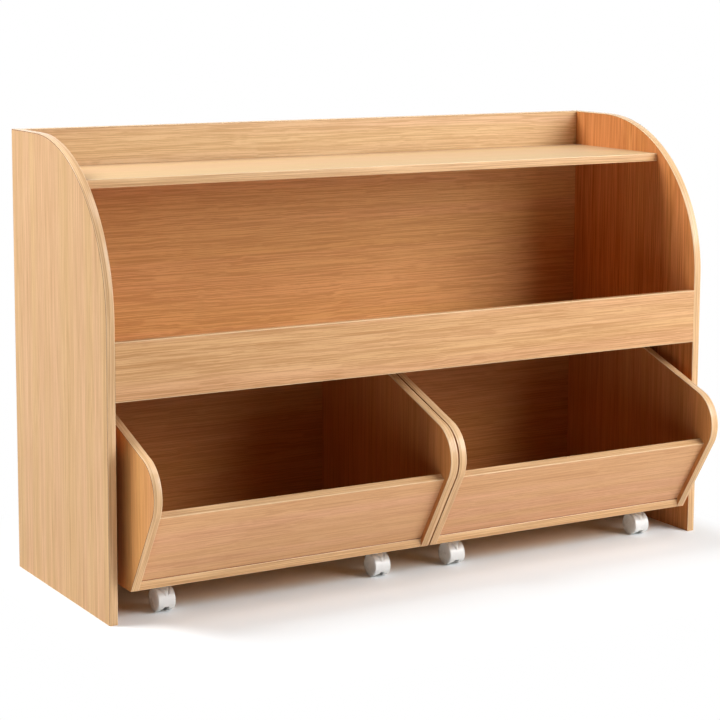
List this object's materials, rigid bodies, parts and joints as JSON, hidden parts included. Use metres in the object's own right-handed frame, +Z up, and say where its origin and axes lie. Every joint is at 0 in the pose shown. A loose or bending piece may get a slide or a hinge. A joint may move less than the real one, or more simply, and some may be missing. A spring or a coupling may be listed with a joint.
{
  "type": "toy storage organizer",
  "caption": "Wooden toy organizer: board cabinet with top tray and railed open shelf over roll-out nose-fronted bins on casters.",
  "frame": {"origin": "bottom centre of the part's box, on the floor that it stands on", "axes": "+X along the cabinet's width, to the right as seen from the front; +Y towards the back; +Z up"},
  "size_m": [1, 0.414, 0.645],
  "materials": {
    "board": "satin",
    "edge_band": "satin",
    "dowel_beech": "matte",
    "zinc_steel": "satin",
    "zinc_alloy": "satin",
    "white_plastic": "semi-gloss"
  },
  "bodies": {
    "cabinet": {"left_side_panel": "board", "right_side_panel": "board", "side_edge_bands": "edge_band", "top_shelf": "board", "middle_shelf": "board", "front_rail": "board", "back_panel": "board", "board_edge_bands": "edge_band", "cam_bolts": "zinc_steel", "cam_locks": "zinc_alloy"},
    "left_bin": {"left_bin_left_panel": "board", "left_bin_right_panel": "board", "left_bin_bottom_board": "board", "left_bin_back_board": "board", "left_bin_front_board": "board", "left_bin_edge_bands": "edge_band", "left_bin_dowels": "dowel_beech", "left_bin_caster_plates": "zinc_steel", "left_bin_plate_screws": "zinc_steel"},
    "left_bin_front_left_fork": {"left_bin_front_left_hood": "white_plastic", "left_bin_front_left_axle": "zinc_steel"},
    "left_bin_front_left_wheel_left": {"left_bin_front_left_wheel_left": "white_plastic"},
    "left_bin_front_left_wheel_right": {"left_bin_front_left_wheel_right": "white_plastic"},
    "left_bin_front_right_fork": {"left_bin_front_right_hood": "white_plastic", "left_bin_front_right_axle": "zinc_steel"},
    "left_bin_front_right_wheel_left": {"left_bin_front_right_wheel_left": "white_plastic"},
    "left_bin_front_right_wheel_right": {"left_bin_front_right_wheel_right": "white_plastic"},
    "left_bin_rear_left_fork": {"left_bin_rear_left_hood": "white_plastic", "left_bin_rear_left_axle": "zinc_steel"},
    "left_bin_rear_left_wheel_left": {"left_bin_rear_left_wheel_left": "white_plastic"},
    "left_bin_rear_left_wheel_right": {"left_bin_rear_left_wheel_right": "white_plastic"},
    "left_bin_rear_right_fork": {"left_bin_rear_right_hood": "white_plastic", "left_bin_rear_right_axle": "zinc_steel"},
    "left_bin_rear_right_wheel_left": {"left_bin_rear_right_wheel_left": "white_plastic"},
    "left_bin_rear_right_wheel_right": {"left_bin_rear_right_wheel_right": "white_plastic"},
    "right_bin": {"right_bin_left_panel": "board", "right_bin_right_panel": "board", "right_bin_bottom_board": "board", "right_bin_back_board": "board", "right_bin_front_board": "board", "right_bin_edge_bands": "edge_band", "right_bin_dowels": "dowel_beech", "right_bin_caster_plates": "zinc_steel", "right_bin_plate_screws": "zinc_steel"},
    "right_bin_front_left_fork": {"right_bin_front_left_hood": "white_plastic", "right_bin_front_left_axle": "zinc_steel"},
    "right_bin_front_left_wheel_left": {"right_bin_front_left_wheel_left": "white_plastic"},
    "right_bin_front_left_wheel_right": {"right_bin_front_left_wheel_right": "white_plastic"},
    "right_bin_front_right_fork": {"right_bin_front_right_hood": "white_plastic", "right_bin_front_right_axle": "zinc_steel"},
    "right_bin_front_right_wheel_left": {"right_bin_front_right_wheel_left": "white_plastic"},
    "right_bin_front_right_wheel_right": {"right_bin_front_right_wheel_right": "white_plastic"},
    "right_bin_rear_left_fork": {"right_bin_rear_left_hood": "white_plastic", "right_bin_rear_left_axle": "zinc_steel"},
    "right_bin_rear_left_wheel_left": {"right_bin_rear_left_wheel_left": "white_plastic"},
    "right_bin_rear_left_wheel_right": {"right_bin_rear_left_wheel_right": "white_plastic"},
    "right_bin_rear_right_fork": {"right_bin_rear_right_hood": "white_plastic", "right_bin_rear_right_axle": "zinc_steel"},
    "right_bin_rear_right_wheel_left": {"right_bin_rear_right_wheel_left": "white_plastic"},
    "right_bin_rear_right_wheel_right": {"right_bin_rear_right_wheel_right": "white_plastic"}
  },
  "joints": [
    {"name": "left_bin_slide", "type": "slide", "parent": "cabinet", "child": "left_bin", "axis": [0, -1, 0], "range_m": [0, 0.35]},
    {"name": "left_bin_front_left_swivel", "type": "hinge", "parent": "left_bin", "child": "left_bin_front_left_fork", "pos_m": [-0.4085, -0.07858, 0.045], "axis": [0, 0, 1], "continuous": true},
    {"name": "left_bin_front_left_wheel_left_roll", "type": "hinge", "parent": "left_bin_front_left_fork", "child": "left_bin_front_left_wheel_left", "pos_m": [-0.4085, -0.09058, 0.016], "axis": [1, 0, 0], "continuous": true},
    {"name": "left_bin_front_left_wheel_right_roll", "type": "hinge", "parent": "left_bin_front_left_fork", "child": "left_bin_front_left_wheel_right", "pos_m": [-0.4085, -0.09058, 0.016], "axis": [1, 0, 0], "continuous": true},
    {"name": "left_bin_front_right_swivel", "type": "hinge", "parent": "left_bin", "child": "left_bin_front_right_fork", "pos_m": [-0.0645, -0.07858, 0.045], "axis": [0, 0, 1], "continuous": true},
    {"name": "left_bin_front_right_wheel_left_roll", "type": "hinge", "parent": "left_bin_front_right_fork", "child": "left_bin_front_right_wheel_left", "pos_m": [-0.0645, -0.09058, 0.016], "axis": [1, 0, 0], "continuous": true},
    {"name": "left_bin_front_right_wheel_right_roll", "type": "hinge", "parent": "left_bin_front_right_fork", "child": "left_bin_front_right_wheel_right", "pos_m": [-0.0645, -0.09058, 0.016], "axis": [1, 0, 0], "continuous": true},
    {"name": "left_bin_rear_left_swivel", "type": "hinge", "parent": "left_bin", "child": "left_bin_rear_left_fork", "pos_m": [-0.4085, 0.128, 0.045], "axis": [0, 0, 1], "continuous": true},
    {"name": "left_bin_rear_left_wheel_left_roll", "type": "hinge", "parent": "left_bin_rear_left_fork", "child": "left_bin_rear_left_wheel_left", "pos_m": [-0.4085, 0.116, 0.016], "axis": [1, 0, 0], "continuous": true},
    {"name": "left_bin_rear_left_wheel_right_roll", "type": "hinge", "parent": "left_bin_rear_left_fork", "child": "left_bin_rear_left_wheel_right", "pos_m": [-0.4085, 0.116, 0.016], "axis": [1, 0, 0], "continuous": true},
    {"name": "left_bin_rear_right_swivel", "type": "hinge", "parent": "left_bin", "child": "left_bin_rear_right_fork", "pos_m": [-0.0645, 0.128, 0.045], "axis": [0, 0, 1], "continuous": true},
    {"name": "left_bin_rear_right_wheel_left_roll", "type": "hinge", "parent": "left_bin_rear_right_fork", "child": "left_bin_rear_right_wheel_left", "pos_m": [-0.0645, 0.116, 0.016], "axis": [1, 0, 0], "continuous": true},
    {"name": "left_bin_rear_right_wheel_right_roll", "type": "hinge", "parent": "left_bin_rear_right_fork", "child": "left_bin_rear_right_wheel_right", "pos_m": [-0.0645, 0.116, 0.016], "axis": [1, 0, 0], "continuous": true},
    {"name": "right_bin_slide", "type": "slide", "parent": "cabinet", "child": "right_bin", "axis": [0, -1, 0], "range_m": [0, 0.35]},
    {"name": "right_bin_front_left_swivel", "type": "hinge", "parent": "right_bin", "child": "right_bin_front_left_fork", "pos_m": [0.0645, -0.07858, 0.045], "axis": [0, 0, 1], "continuous": true},
    {"name": "right_bin_front_left_wheel_left_roll", "type": "hinge", "parent": "right_bin_front_left_fork", "child": "right_bin_front_left_wheel_left", "pos_m": [0.0645, -0.09058, 0.016], "axis": [1, 0, 0], "continuous": true},
    {"name": "right_bin_front_left_wheel_right_roll", "type": "hinge", "parent": "right_bin_front_left_fork", "child": "right_bin_front_left_wheel_right", "pos_m": [0.0645, -0.09058, 0.016], "axis": [1, 0, 0], "continuous": true},
    {"name": "right_bin_front_right_swivel", "type": "hinge", "parent": "right_bin", "child": "right_bin_front_right_fork", "pos_m": [0.4085, -0.07858, 0.045], "axis": [0, 0, 1], "continuous": true},
    {"name": "right_bin_front_right_wheel_left_roll", "type": "hinge", "parent": "right_bin_front_right_fork", "child": "right_bin_front_right_wheel_left", "pos_m": [0.4085, -0.09058, 0.016], "axis": [1, 0, 0], "continuous": true},
    {"name": "right_bin_front_right_wheel_right_roll", "type": "hinge", "parent": "right_bin_front_right_fork", "child": "right_bin_front_right_wheel_right", "pos_m": [0.4085, -0.09058, 0.016], "axis": [1, 0, 0], "continuous": true},
    {"name": "right_bin_rear_left_swivel", "type": "hinge", "parent": "right_bin", "child": "right_bin_rear_left_fork", "pos_m": [0.0645, 0.128, 0.045], "axis": [0, 0, 1], "continuous": true},
    {"name": "right_bin_rear_left_wheel_left_roll", "type": "hinge", "parent": "right_bin_rear_left_fork", "child": "right_bin_rear_left_wheel_left", "pos_m": [0.0645, 0.116, 0.016], "axis": [1, 0, 0], "continuous": true},
    {"name": "right_bin_rear_left_wheel_right_roll", "type": "hinge", "parent": "right_bin_rear_left_fork", "child": "right_bin_rear_left_wheel_right", "pos_m": [0.0645, 0.116, 0.016], "axis": [1, 0, 0], "continuous": true},
    {"name": "right_bin_rear_right_swivel", "type": "hinge", "parent": "right_bin", "child": "right_bin_rear_right_fork", "pos_m": [0.4085, 0.128, 0.045], "axis": [0, 0, 1], "continuous": true},
    {"name": "right_bin_rear_right_wheel_left_roll", "type": "hinge", "parent": "right_bin_rear_right_fork", "child": "right_bin_rear_right_wheel_left", "pos_m": [0.4085, 0.116, 0.016], "axis": [1, 0, 0], "continuous": true},
    {"name": "right_bin_rear_right_wheel_right_roll", "type": "hinge", "parent": "right_bin_rear_right_fork", "child": "right_bin_rear_right_wheel_right", "pos_m": [0.4085, 0.116, 0.016], "axis": [1, 0, 0], "continuous": true}
  ]
}
